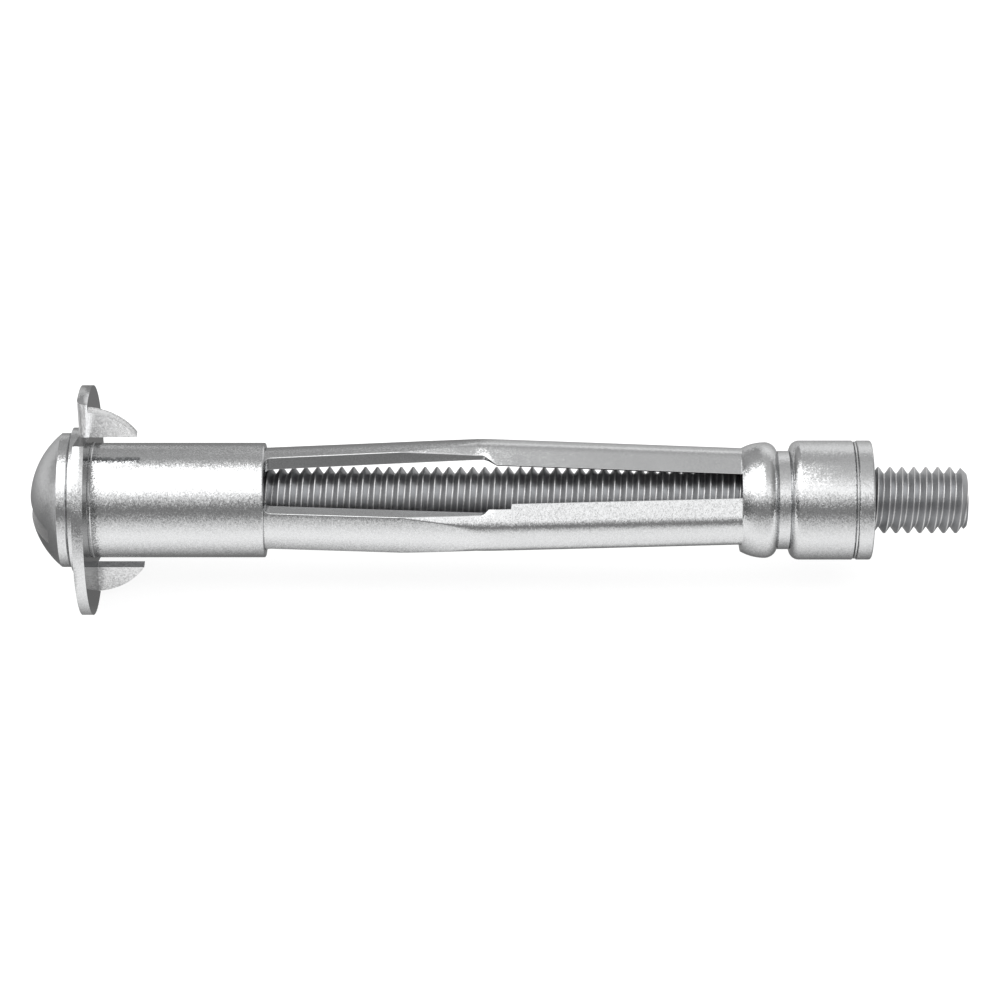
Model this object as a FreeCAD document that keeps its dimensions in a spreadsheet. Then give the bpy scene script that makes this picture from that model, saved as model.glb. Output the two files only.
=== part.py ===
"""Hollow-wall expansion anchor: a machine screw, a slotted expansion sleeve, a claw washer and a tail nut.

Millimetres. The axis lies along X: the screw head is at -X and the tail at +X. The origin is on the axis, in
the face of the claw washer that meets the wall. +Z is up, and the anchor lies on one notch of its washer.
An angle about the axis is counted from -Y, through +Z, so 90 degrees is the top.
"""

import FreeCAD, Part
import math
import os
import Sketcher

V = FreeCAD.Vector
X_AXIS = V(1, 0, 0)
FULL_TURN = 360.0
TOP_ANGLE = 90.0
# Two lengths nearer than this are the same.
NEAR = 0.001
# The notch's slanted side is drawn this many times as long as its cut, so that it passes the rim.
NOTCH_REACH = 1.4
# Where the crease lies in the plain part of a leg, as a share of its half width
PLAIN_CREASE_SHARE = 0.9
# Sections of a leg in its root's rounds, its plain part, along its widening facets, and behind its fold
ROOT_STEPS, PLAIN_STEPS, FADE_STEPS, BACK_STEPS = 4, 2, 4, 3
# Share of the facet's run at which its tip is drawn
FACET_TIP = 0.1
CLAWS = 2

SIZES = {
    # Claw washer
    "washer_radius": 6.743,
    "washer_sheet": 0.64,
    "washer_play": 0.03,
    "claw_inner": 4.53,
    "claw_reach": 2.75,
    "claw_outer": 6.215,
    "claw_arc": 3.63,
    "claw_angle": 106.1,
    "bend_round": 0.55,
    "notch_width": 3.062,
    "notch_rise": 1.304,
    # Sleeve: flange and tube
    "sheet": 0.62,
    "flange_radius": 4.25,
    "flange_bevel": 0.12,
    "flange_bevel_rise": 0.32,
    "tube_radius": 3.357,
    "tube_end": 10.08,
    "tube_round": 0.2,
    # Sleeve: legs
    "leg_count": 3,
    "leg_angle": 7.85,
    "leg_length": 27.76,
    "leg_root_step": 0.287,
    "leg_root_round": 0.38,
    "leg_fold_rise": 0.53,
    "leg_mouth_rise": 0.03,
    "leg_fold": 12.72,
    "leg_fold_round": 0.02,
    "leg_half_width": 1.37,
    "leg_wide": 1.82,
    "leg_notch_width": 1.617,
    "leg_crease": 0.88,
    "facet_start": 7.82,
    "facet_full": 12.32,
    "facet_slope": 47.7,
    "edge_bevel": 31.0,
    "widening_start": 12.71,
    "widening_end": 13.52,
    "notch_start": 13.06,
    "notch_end": 14.35,
    "step_run": 0.06,
    "joggle": 0.5,
    # Sleeve: mouth, neck and collar
    "mouth_radius": 3.02,
    "leg_overlap": 0.46,
    "bulge_run": 1.41,
    "bulge_radius": 3.39,
    "bulge_fall": 0.7,
    "bulge_fold": 0.2,
    "neck_width": 0.73,
    "neck_radius": 2.88,
    "collar_radius": 3.497,
    "collar_round": 0.52,
    "collar_length": 3.71,
    # Tail nut
    "crimp_play": 0.03,
    "nut_set_in": 0.66,
    "nut_head": 0.65,
    "nut_head_play": 0.2,
    "seam_width": 0.2,
    "seam_depth": 0.1,
    "nut_flange_radius": 3.49,
    "nut_flange": 0.88,
    "nut_flange_round": 0.12,
    # Screw
    "screw_radius": 1.96,
    "thread_play": 0.05,
    "screw_tail": 5.58,
    "tip_bevel": 0.4,
    "head_radius": 3.925,
    "head_rim": 0.56,
    "head_dome": 1.87,
    "slot_angle": 9.4,
    "slot_reach": 3.38,
    "slot_foot": 1.6,
    "slot_width": 1.15,
    "slot_depth": 2.1,
    "slot_end": 1.3,
    # A cut reaches this far past the face that it starts from.
    "overcut": 1.0,
}


def size(formula):
    """Value of a sum of sizes, written like 'tube_radius - sheet'."""
    total, sign = 0.0, 1.0
    for word in formula.split():
        if word in ("+", "-"):
            sign = 1.0 if word == "+" else -1.0
        else:
            total += sign * (SIZES[word] if word in SIZES else float(word))
    return total


def bound(formula):
    """The same sum as an expression on the cells of the sheet."""
    return " ".join("Dims." + word if word in SIZES else word for word in formula.split())


doc = FreeCAD.newDocument("expansion_anchor")
dims = doc.addObject("Spreadsheet::Sheet", "Dims")


def write_cell(row, alias, number):
    """One row of the sheet: the size's name, and its value under that alias."""
    dims.set(f"A{row}", alias)
    dims.set(f"B{row}", str(number))
    dims.setAlias(f"B{row}", alias)


for row, (alias, number) in enumerate(SIZES.items(), 1):
    write_cell(row, alias, number)
doc.recompute()


def new_body(name):
    body = doc.addObject("PartDesign::Body", name)
    body.Label = name
    return body


def plane(body, role):
    """One of the body's own origin planes, by its role."""
    return next(item for item in body.Origin.OriginFeatures if item.Role == role)


def new_sketch(body, name, role, offset=None):
    sketch = body.newObject("Sketcher::SketchObject", name)
    sketch.AttachmentSupport = [(plane(body, role), "")]
    sketch.MapMode = "FlatFace"
    if offset is not None:
        sketch.AttachmentOffset = offset
    return sketch


def arc_between(start, end, radius, turn):
    """Arc from start to end; turn is 1 with its centre on the left of the way there, -1 on the right."""
    way = end - start
    left = V(-way.y, way.x, 0).normalize()
    rise = math.sqrt(max(radius ** 2 - (way.Length / 2) ** 2, 0.0))
    centre = (start + end) * 0.5 + left * (turn * rise)
    first, last = (start, end) if turn > 0 else (end, start)
    angles = [math.atan2(point.y - centre.y, point.x - centre.x) for point in (first, last)]
    if angles[1] < angles[0]:
        angles[1] += 2 * math.pi
    return Part.ArcOfCircle(Part.Circle(centre, V(0, 0, 1), radius), angles[0], angles[1])


def draw_outline(sketch, corners):
    """Closed outline. A corner is (x, y) as sums of sizes, or (x, y, radius, turn) where an arc leaves it."""
    points = [V(size(corner[0]), size(corner[1]), 0) for corner in corners]
    ends = []
    for index, corner in enumerate(corners):
        start, end = points[index], points[(index + 1) % len(points)]
        if len(corner) == 2:
            sketch.addGeometry(Part.LineSegment(start, end), False)
            ends.append((1, 2))
        else:
            radius, turn = corner[2:]
            sketch.addGeometry(arc_between(start, end, size(radius), turn), False)
            ends.append((1, 2) if turn > 0 else (2, 1))
    for index, corner in enumerate(corners):
        after = (index + 1) % len(corners)
        first = ends[index][0]
        sketch.addConstraint(
            Sketcher.Constraint("Coincident", index, ends[index][1], after, ends[after][0])
        )
        for kind, formula in (("DistanceX", corner[0]), ("DistanceY", corner[1])):
            if formula == "0":
                axis = -2 if kind == "DistanceX" else -1
                sketch.addConstraint(Sketcher.Constraint("PointOnObject", index, first, axis))
                continue
            number = sketch.addConstraint(
                Sketcher.Constraint(kind, -1, 1, index, first, size(formula))
            )
            sketch.setExpression(f"Constraints[{number}]", bound(formula))
        if len(corner) > 2:
            number = sketch.addConstraint(Sketcher.Constraint("Radius", index, size(corner[2])))
            sketch.setExpression(f"Constraints[{number}]", bound(corner[2]))
    return sketch


def about_axis(angle):
    """Placement that turns a piece from the top to an angle about the axis."""
    return FreeCAD.Placement(V(0, 0, 0), FreeCAD.Rotation(X_AXIS, TOP_ANGLE - angle))


def cut(body, name, outline, width):
    """Pocket of a sketch, half of its width on each side of the sketch's plane."""
    before = body.Shape.Volume
    pocket = body.newObject("PartDesign::Pocket", name)
    pocket.Profile = outline
    pocket.setExpression("Length", bound(width))
    pocket.Midplane = True
    doc.recompute()
    if body.Shape.Volume > before - NEAR:
        raise RuntimeError(f"{name} cuts nothing")
    return pocket


def turned(body, name, corners):
    """Solid of revolution about X of an outline of (x, radius) corners."""
    sketch = draw_outline(new_sketch(body, name + "_outline", "XZ_Plane"), corners)
    solid = body.newObject("PartDesign::Revolution", name)
    solid.Profile = sketch
    solid.ReferenceAxis = (sketch, ["H_Axis"])
    solid.Angle = FULL_TURN
    doc.recompute()
    return solid


def derive(alias, number):
    """Add a size that follows from the others, to the table and to the sheet."""
    SIZES[alias] = number
    write_cell(len(SIZES), alias, number)


def crown_radius(run, rise):
    """Radius of the arc that starts level at a crown and drops by rise over run."""
    return (run ** 2 + rise ** 2) / (2 * rise)


derive("dome_arc", crown_radius(size("head_radius"), size("head_dome")))
derive("front_arc", crown_radius(size("bulge_run"), size("bulge_radius - mouth_radius")))
derive("back_arc", crown_radius(size("bulge_fall"), size("bulge_radius - neck_radius")))
derive("claw_half", size("washer_sheet") / 2)
derive("notch_far_y", -size("claw_half") - NOTCH_REACH * size("notch_width"))
derive("notch_far_z", size("claw_inner") + NOTCH_REACH * size("notch_rise"))
doc.recompute()

# Places along the axis, from the head to the tail
FLANGE_FRONT = "0 - washer_sheet - sheet"
RIM_FRONT = FLANGE_FRONT + " - head_rim"
APEX = RIM_FRONT + " - head_dome"
MOUTH = "tube_end + leg_length"
BULGE = MOUTH + " + bulge_run"
NECK_START = BULGE + " + bulge_fall"
NECK_END = NECK_START + " + neck_width"
COLLAR_END = NECK_END + " + collar_length"
NUT_FRONT = MOUTH + " + nut_set_in"
NUT_END = COLLAR_END + " + seam_width + nut_flange"
TIP = NUT_END + " + screw_tail"

# Machine screw: domed head with a short rim, plain shank at the thread's outer size, bevelled tip

screw = new_body("machine_screw")
turned(screw, "screw_form", [
    (APEX, "0", "dome_arc", -1),
    (RIM_FRONT, "head_radius"),
    (FLANGE_FRONT, "head_radius"),
    (FLANGE_FRONT, "screw_radius"),
    (TIP + " - tip_bevel", "screw_radius"),
    (TIP, "screw_radius - tip_bevel"),
    (TIP, "0"),
])

# Driver slot across the dome: its floor rises to the surface short of the rim at both ends
slot_lie = FreeCAD.Placement(V(0, 0, 0), FreeCAD.Rotation(X_AXIS, TOP_ANGLE - size("slot_angle")))
slot_outline = draw_outline(new_sketch(screw, "slot_outline", "XZ_Plane", slot_lie), [
    (APEX + " - overcut", "slot_reach"),
    (APEX + " + slot_end", "slot_reach"),
    (APEX + " + slot_depth", "slot_foot"),
    (APEX + " + slot_depth", "0 - slot_foot"),
    (APEX + " + slot_end", "0 - slot_reach"),
    (APEX + " - overcut", "0 - slot_reach"),
])
cut(screw, "slot", slot_outline, "slot_width")

# Claw washer, drawn with one claw at the top
washer = new_body("claw_washer")
turned(washer, "disc", [
    ("0 - washer_sheet", "tube_radius + washer_play"),
    ("0 - washer_sheet", "washer_radius"),
    ("0", "washer_radius"),
    ("0", "tube_radius + washer_play"),
])
notch_outline = draw_outline(new_sketch(washer, "notch_outline", "YZ_Plane"), [
    ("0 - claw_half", "claw_inner"),
    ("0 - claw_half", "washer_radius + overcut"),
    ("notch_far_y", "washer_radius + overcut"),
    ("notch_far_y", "notch_far_z"),
])
derive("notch_depth", 2 * (size("washer_sheet") + size("overcut")))
doc.recompute()
notch = cut(washer, "notch", notch_outline, "notch_depth")
claw = washer.newObject("PartDesign::Pad", "claw")
claw.Profile = draw_outline(new_sketch(washer, "claw_outline", "XZ_Plane"), [
    ("0 - washer_sheet", "claw_inner"),
    ("claw_reach", "claw_inner", "claw_arc", 1),
    ("0", "claw_outer"),
    ("0 - washer_sheet", "claw_outer"),
])
claw.setExpression("Length", bound("washer_sheet"))
claw.Midplane = True
claws = washer.newObject("PartDesign::PolarPattern", "claws")
claws.Originals = [notch, claw]
claws.Axis = (plane(washer, "X_Axis"), [""])
claws.Angle = FULL_TURN
claws.Occurrences = CLAWS
washer.Tip = claws
doc.recompute()


def along_bend(edge):
    """True on the outer corner of a claw's bend: on the head's side, in the face beside the notch."""
    ends = [vertex.Point for vertex in edge.Vertexes]
    return (
        len(ends) == 2
        and all(abs(end.x + size("washer_sheet")) < NEAR for end in ends)
        and all(abs(abs(end.y) - size("claw_half")) < NEAR for end in ends)
        and abs(ends[0].z - ends[1].z) > size("bend_round")
        and ends[0].y * ends[0].z < 0
    )


bend_edges = [f"Edge{index}" for index, edge in enumerate(claws.Shape.Edges, 1) if along_bend(edge)]
bends = washer.newObject("PartDesign::Fillet", "bends")
bends.Base = (claws, bend_edges)
bends.setExpression("Radius", bound("bend_round"))
washer.Tip = bends
washer.Placement = about_axis(size("claw_angle"))

# Sleeve, front: flange and plain tube, down to the step behind which the legs start
tube = new_body("sleeve_tube")
turned(tube, "tube_form", [
    (FLANGE_FRONT, "tube_radius - sheet"),
    (FLANGE_FRONT, "flange_radius - flange_bevel_rise"),
    (FLANGE_FRONT + " + flange_bevel", "flange_radius"),
    ("0 - washer_sheet", "flange_radius"),
    ("0 - washer_sheet", "tube_radius"),
    ("tube_end - tube_round", "tube_radius", "tube_round", -1),
    ("tube_end", "tube_radius - tube_round"),
    ("tube_end", "tube_radius - sheet"),
])

# Sleeve, tail: open mouth, bulge, neck and collar
tail = new_body("sleeve_tail")
turned(tail, "tail_form", [
    (MOUTH, "mouth_radius - sheet"),
    (MOUTH, "mouth_radius", "front_arc", -1),
    (BULGE, "bulge_radius", "back_arc", -1),
    (NECK_START, "neck_radius"),
    (NECK_END, "neck_radius"),
    (NECK_END, "collar_radius - collar_round", "collar_round", -1),
    (NECK_END + " + collar_round", "collar_radius"),
    (COLLAR_END, "collar_radius"),
    (COLLAR_END, "collar_radius - sheet"),
    (NECK_END + " + sheet", "collar_radius - sheet"),
    (NECK_END + " + sheet", "neck_radius - sheet"),
    (BULGE + " + bulge_fold", "neck_radius - sheet"),
    (BULGE, "bulge_radius - sheet", "front_arc", 1),
])

# Sleeve, legs: a strip of the sheet, plain towards the tube, folded and wider towards the mouth


def ramp(run, start, end):
    """0 before start, 1 after end, and straight between them."""
    return min(max((run - size(start)) / (size(end) - size(start)), 0.0), 1.0)


def crest(run):
    """Radius of the leg's ridge: two straight slopes that meet in a small round at the fold."""
    root = size("tube_radius - leg_root_step")
    fold = root + size("leg_fold_rise")
    mouth = size("mouth_radius + leg_mouth_rise")
    front = root + (fold - root) * run / size("leg_fold")
    back = mouth + (fold - mouth) * (size("leg_length") - run) / size("leg_length - leg_fold")
    return (front + back) / 2 - math.hypot((front - back) / 2, size("leg_fold_round"))


def root_flare(run):
    """Extra half width where the leg's edge rounds into the tube's end."""
    short = size("leg_root_round") - min(max(run, 0.0), size("leg_root_round"))
    return size("leg_root_round") - math.sqrt(size("leg_root_round") ** 2 - short ** 2)


def diagonal_edge(run):
    """Half width on the side that widens along a straight slant."""
    share = ramp(run, "widening_start", "widening_end")
    return size("leg_half_width") + root_flare(run) + share * size("leg_wide - leg_half_width")


def notched_edge(run):
    """Half width on the side that widens in two steps, the second one square."""
    share = ramp(run, "widening_start", "notch_start")
    step = ramp(run, "notch_end", "notch_end + step_run")
    narrow = size("leg_half_width") + share * size("leg_notch_width - leg_half_width")
    return narrow + root_flare(run) + step * size("leg_wide - leg_notch_width")


def leg_half(run, half_width, side):
    """Outer edge, outer crease, inner crease and inner edge of one half of the leg's section."""
    fade = ramp(run, "facet_start", "facet_full")
    radius = crest(run)
    if fade > 0:
        # The crease runs in from the leg's edge, and the facet below it keeps its slope.
        crease = size("leg_half_width") - fade * size("leg_half_width - leg_crease")
        crease_height = math.sqrt(radius ** 2 - crease ** 2)
        facet = math.radians(size("facet_slope"))
    else:
        crease = PLAIN_CREASE_SHARE * size("leg_half_width")
        crease_height = math.sqrt(radius ** 2 - crease ** 2)
        drop = crease_height - math.sqrt(radius ** 2 - half_width ** 2)
        facet = math.atan(drop / (half_width - crease))
    edge = (half_width, crease_height - math.tan(facet) * (half_width - crease))
    at_crease = math.asin(crease / radius)
    bisector = (facet + at_crease) / 2
    reach = size("sheet") / math.cos((facet - at_crease) / 2)
    inner_crease = (crease - reach * math.sin(bisector), crease_height - reach * math.cos(bisector))
    # The cut edge runs straight in, parallel to the leg's middle, and is bevelled where the leg is wide.
    straight = (half_width, math.sqrt((radius - size("sheet")) ** 2 - half_width ** 2))
    back_off = size("sheet") * math.tan(math.radians(size("edge_bevel")))
    bevelled = (
        edge[0] - size("sheet") * math.sin(facet) - back_off * math.cos(facet),
        edge[1] - size("sheet") * math.cos(facet) + back_off * math.sin(facet),
    )
    bevel = ramp(run, "widening_start", "widening_end")
    inner_edge = [flat + bevel * (slant - flat) for flat, slant in zip(straight, bevelled)]
    outline = (edge, (crease, crease_height), inner_crease, inner_edge)
    return [V(size("tube_end") + run, side * across, height) for across, height in outline]


def leg_section(run):
    """Closed section of a leg at a run from the tube's end, with the leg at the top."""
    near = leg_half(run, diagonal_edge(run), -1)
    far = leg_half(run, notched_edge(run), 1)
    ridge = V(size("tube_end") + run, 0, crest(run))
    valley = ridge - V(0, 0, size("sheet"))
    return Part.Wire([
        Part.makeLine(near[0], near[1]),
        Part.Arc(near[1], ridge, far[1]).toShape(),
        Part.makeLine(far[1], far[0]),
        Part.makeLine(far[0], far[3]),
        Part.makeLine(far[3], far[2]),
        Part.Arc(far[2], valley, near[2]).toShape(),
        Part.makeLine(near[2], near[3]),
        Part.makeLine(near[3], near[0]),
    ])


def between(start, end, steps):
    """Evenly spaced places from start on, short of end."""
    return [start + (end - start) * step / steps for step in range(steps)]


leg_runs = sorted(
    [size("0 - joggle")]
    + between(0.0, size("leg_root_round"), ROOT_STEPS)
    + between(size("leg_root_round"), size("facet_start"), PLAIN_STEPS)
    + [size("facet_start"), size("facet_start") + FACET_TIP * size("facet_full - facet_start")]
    + between(size("facet_start"), size("facet_full"), FADE_STEPS)[1:]
    + [size("facet_full"), size("widening_start"), size("notch_start"), size("widening_end")]
    + [size("notch_end")]
    + between(size("notch_end + step_run"), size("leg_length"), BACK_STEPS)
    + [size("leg_length"), size("leg_length + leg_overlap")]
)
leg_shape = Part.makeLoft([leg_section(run) for run in leg_runs], True, True)
legs = []
for index in range(int(size("leg_count"))):
    leg = doc.addObject("Part::Feature", f"sleeve_leg_{index + 1}")
    leg.Shape = leg_shape
    leg.Placement = about_axis(size("leg_angle") + index * FULL_TURN / size("leg_count"))
    legs.append(leg)

sleeve = doc.addObject("Part::MultiFuse", "expansion_sleeve")
sleeve.Label = "expansion_sleeve"
sleeve.Shapes = [tube, tail] + legs

# Tail nut: a bush crimped in the collar and the neck, with its flange behind the seam
nut = new_body("tail_nut")
NUT_BORE = "screw_radius + thread_play"
NUT_NECK = "neck_radius - sheet - crimp_play"
NUT_BODY = "collar_radius - sheet - crimp_play"
NUT_HEAD = "bulge_radius - sheet - nut_head_play"
turned(nut, "nut_form", [
    (NUT_FRONT, NUT_BORE),
    (NUT_FRONT, NUT_HEAD),
    (NUT_FRONT + " + nut_head", NUT_HEAD),
    (NUT_FRONT + " + nut_head + bulge_fold", NUT_NECK),
    (NECK_END + " + sheet + crimp_play", NUT_NECK),
    (NECK_END + " + sheet + crimp_play", NUT_BODY),
    (COLLAR_END, NUT_BODY),
    (COLLAR_END, "collar_radius - seam_depth"),
    (COLLAR_END + " + seam_width", "collar_radius - seam_depth"),
    (COLLAR_END + " + seam_width", "nut_flange_radius"),
    (NUT_END + " - nut_flange_round", "nut_flange_radius", "nut_flange_round", -1),
    (NUT_END, "nut_flange_radius - nut_flange_round"),
    (NUT_END, NUT_BORE),
])

doc.recompute()
NODES = [screw, sleeve, washer, nut]

for item in doc.Objects:
    if {"Invalid", "Error"} & set(item.State):
        raise RuntimeError(f"{item.Label} failed: {item.State}")
for node in NODES:
    if node.Shape.isNull() or not node.Shape.isValid() or len(node.Shape.Solids) != 1:
        raise RuntimeError(f"{node.Label} is not one valid solid")

os.makedirs("parts", exist_ok=True)
for node in NODES:
    node.Shape.exportStep(os.path.join("parts", node.Label + ".step"))
    print(node.Label, round(node.Shape.Volume, 3), "mm3")
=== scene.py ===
"""Hollow-wall expansion anchor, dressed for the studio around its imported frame.

The classes hold their sizes in millimetres and build their meshes in metres. The axis lies along X, with the
screw's head at -X and its tail at +X, and Z is up. An angle about the axis is counted from -Y, through +Z.
"""

from __future__ import annotations

import logging
import math
from collections.abc import Callable
from dataclasses import dataclass
from enum import Enum

import bpy
from mathutils import Matrix, Vector

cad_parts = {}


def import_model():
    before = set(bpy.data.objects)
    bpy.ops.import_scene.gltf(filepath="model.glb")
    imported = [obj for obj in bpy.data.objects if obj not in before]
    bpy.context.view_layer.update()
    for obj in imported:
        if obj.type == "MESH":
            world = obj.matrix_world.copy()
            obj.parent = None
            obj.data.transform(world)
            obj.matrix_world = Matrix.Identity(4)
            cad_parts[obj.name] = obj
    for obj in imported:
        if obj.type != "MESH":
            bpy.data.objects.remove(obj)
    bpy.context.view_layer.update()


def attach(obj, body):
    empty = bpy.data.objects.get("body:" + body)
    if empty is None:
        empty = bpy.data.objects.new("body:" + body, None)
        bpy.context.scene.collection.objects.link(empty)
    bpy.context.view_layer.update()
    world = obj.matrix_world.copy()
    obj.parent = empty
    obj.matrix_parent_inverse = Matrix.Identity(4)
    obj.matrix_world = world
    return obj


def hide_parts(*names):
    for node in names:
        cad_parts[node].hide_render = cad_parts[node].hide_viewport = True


MM = 0.001
FULL_TURN = 2 * math.pi
TOP_ANGLE = 90.0
# How close vertices are that become one, and how far apart the ends of a sliver are, in metres
MERGE = 1e-7
NEAR = 1e-6
SLIVER = 2e-6
# Angles in degrees: below FLAT two faces are one, and above SHARP an edge stays sharp.
FLAT = 0.3
SHARP = 30.0
# The share of a side that a round at its end takes up at most
LONGEST_ROUND = 0.45
# Stretches in a leg's rounded crease and in a rounded corner, and the turn below which a crease is straight
CREASE_STEPS = 7
CORNER_STEPS = 4
STRAIGHT = 0.01
# Numbers of the Mix node's sockets for colours
COLOUR_A = 6
COLOUR_B = 7
COLOUR_RESULT = 2
LOG = logging.getLogger("anchor")

Point = tuple[float, float]
Point3 = tuple[float, float, float]
Colour = tuple[float, float, float, float]
Piece = bpy.types.Object
Metal = bpy.types.Material
Tree = bpy.types.NodeTree
Socket = bpy.types.NodeSocket
Outputs = bpy.types.bpy_prop_collection


class Surface(Enum):
    """Which finish a face of the sheet takes: the value is its material slot. Plated and cut faces are the
    ways the sheet was made; the washer's wall side and the claws' inward edges take darker copies, painted
    shade, and the claws' faces and bends a lighter copy, painted light.
    """

    PLATED = 0
    CUT = 1
    WALL = 2
    CLAW = 3
    CLAW_EDGE = 4


class ScrewFace(Enum):
    """Which part of the screw a face belongs to: the value is its material slot. The slots hold copies of one
    steel by the way the faces turn: a lighter one on the head, painted light, and a darker one on the
    thread's flanks, painted shade.
    """

    HEAD = 0
    FLANK = 1
    LINE = 2
    RIM = 3


def leave_edit() -> None:
    """Go back to object mode."""
    bpy.ops.object.mode_set(mode="OBJECT")


def clear_selection() -> None:
    """Leave edit mode and deselect every object."""
    if bpy.context.object is not None and bpy.context.object.mode != "OBJECT":
        leave_edit()
    bpy.ops.object.select_all(action="DESELECT")


def select_only(*objects: Piece) -> Piece:
    """Select some objects and make the first one active.

    Args:
        objects: The objects to select.

    Returns:
        The active object.
    """
    clear_selection()
    for item in objects:
        item.select_set(True)
    bpy.context.view_layer.objects.active = objects[0]
    return objects[0]


def edit(piece: Piece, pick_all: bool = True) -> None:
    """Go into edit mode on a piece, with all or nothing of it selected.

    Args:
        piece: The object to edit.
        pick_all: Whether everything is selected, or nothing.
    """
    select_only(piece)
    bpy.ops.object.mode_set(mode="EDIT")
    bpy.ops.mesh.select_mode(type="VERT")
    bpy.ops.mesh.select_all(action="SELECT" if pick_all else "DESELECT")


def pick_vertices(piece: Piece, test: Callable[[Vector], bool]) -> None:
    """Select some of a piece's vertices in edit mode.

    Args:
        piece: The object.
        test: Whether a vertex at a place is selected.
    """
    edit(piece, pick_all=False)
    leave_edit()
    for vertex in piece.data.vertices:
        vertex.select = test(vertex.co)
    bpy.ops.object.mode_set(mode="EDIT")


def apply_modifier(piece: Piece, kind: str, **settings: object) -> None:
    """Add a modifier to a piece and apply it.

    Args:
        piece: The object.
        kind: Blender's name of the modifier's type.
        settings: The modifier's own settings.
    """
    select_only(piece)
    modifier = piece.modifiers.new(kind.lower(), kind)
    for key, value in settings.items():
        setattr(modifier, key, value)
    bpy.ops.object.modifier_apply(modifier=modifier.name)


def draw_line(name: str, points: list[Vector], closed: bool) -> Piece:
    """Draw a line of edges from place to place: one point, extruded step by step.

    Args:
        name: Name of the new object.
        points: Places in millimetres.
        closed: Whether an edge joins the last place to the first.

    Returns:
        The object that holds the line.
    """
    clear_selection()
    bpy.ops.mesh.primitive_plane_add(size=MM, location=(0, 0, 0))
    line = bpy.context.object
    line.name = name
    edit(line)
    bpy.ops.mesh.merge(type="CENTER")
    bpy.ops.transform.translate(value=points[0] * MM)
    for before, after in zip(points, points[1:]):
        bpy.ops.mesh.extrude_vertices_move(TRANSFORM_OT_translate={"value": (after - before) * MM})
    if closed:
        pick_vertices(line, lambda at: min((at - points[end] * MM).length for end in (0, -1)) < MERGE)
        bpy.ops.mesh.edge_face_add()
    leave_edit()
    return line


def face_outwards(piece: Piece, merge: float = MERGE) -> None:
    """Merge a piece's doubles and turn its faces outwards.

    Args:
        piece: The object.
        merge: How close two vertices are that become one, in metres.
    """
    edit(piece)
    bpy.ops.mesh.remove_doubles(threshold=merge)
    bpy.ops.mesh.normals_make_consistent(inside=False)
    leave_edit()


def spin_outline(name: str, outline: list[Point], steps: int, closed: bool) -> Piece:
    """Turn an outline of (place, radius) pairs about the X axis.

    Args:
        name: Name of the new object.
        outline: Places along X and radii, in millimetres.
        steps: Sides of the turned form.
        closed: Whether the outline closes on itself, or ends on the axis.

    Returns:
        The turned object, with its faces outwards.
    """
    piece = draw_line(name, [Vector((place, 0, radius)) for place, radius in outline], closed)
    edit(piece)
    bpy.ops.mesh.spin(steps=steps, angle=FULL_TURN, center=(0, 0, 0), axis=(1, 0, 0))
    leave_edit()
    face_outwards(piece)
    return piece


def smooth(piece: Piece, degrees: float = SHARP) -> None:
    """Shade a piece smooth, with its large faces flat beside their rounds.

    Args:
        piece: The object.
        degrees: The angle from which an edge stays sharp.
    """
    select_only(piece)
    bpy.ops.object.shade_smooth_by_angle(angle=math.radians(degrees))
    apply_modifier(piece, "WEIGHTED_NORMAL", keep_sharp=True)


def cut_with(piece: Piece, tool: Piece, operation: str) -> None:
    """Join a tool to a piece, cut it out or keep what they share, then delete the tool."""
    apply_modifier(piece, "BOOLEAN", operation=operation, object=tool, solver="EXACT")
    bpy.data.objects.remove(tool, do_unlink=True)


def trim(piece: Piece, place: Point3, normal: Point3) -> None:
    """Cut off what lies beyond a plane, and close the cut.

    Args:
        piece: The object.
        place: A place in the plane, in millimetres.
        normal: Which way the plane faces.
    """
    edit(piece)
    bpy.ops.mesh.bisect(
        plane_co=Vector(place) * MM, plane_no=normal, use_fill=True, clear_outer=True, threshold=MERGE
    )
    leave_edit()
    face_outwards(piece)


def join_flats(piece: Piece, merge: float) -> None:
    """Merge a piece's doubles, and join the flat stretches that its cuts have split.

    Args:
        piece: The object.
        merge: How close two vertices are that become one, in metres.
    """
    edit(piece)
    bpy.ops.mesh.remove_doubles(threshold=merge)
    bpy.ops.mesh.dissolve_limited(angle_limit=math.radians(FLAT))
    leave_edit()


def round_edges(piece: Piece, width: float, degrees: float, **settings: object) -> None:
    """Round a piece's edges from an angle on, by a width in millimetres."""
    limit = math.radians(degrees)
    apply_modifier(
        piece, "BEVEL", width=width * MM, segments=2, limit_method="ANGLE", angle_limit=limit, **settings
    )


def arc_points(start: Point, end: Point, radius: float, turn: int, steps: int) -> list[Point]:
    """Points on an arc from start to end, without the end.

    Args:
        start: First point.
        end: Last point.
        radius: Radius of the arc.
        turn: 1 with the centre on the left of the way there, -1 on the right.
        steps: How many points.

    Returns:
        The points, the first one at start.
    """
    first, last = Vector(start), Vector(end)
    way = last - first
    left = Vector((-way.y, way.x)).normalized()
    rise = math.sqrt(max(radius**2 - (way.length / 2) ** 2, 0.0))
    centre = (first + last) / 2 + left * (turn * rise)
    angles = [math.atan2(point.y - centre.y, point.x - centre.x) for point in (first, last)]
    sweep = (angles[1] - angles[0]) % FULL_TURN
    if turn < 0:
        sweep -= FULL_TURN
    return [
        (
            centre.x + radius * math.cos(angles[0] + sweep * step / steps),
            centre.y + radius * math.sin(angles[0] + sweep * step / steps),
        )
        for step in range(steps)
    ]


def crown_radius(run: float, rise: float) -> float:
    """Radius of the arc that starts level at a crown and drops by rise over run."""
    return (run**2 + rise**2) / (2 * rise)


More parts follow.
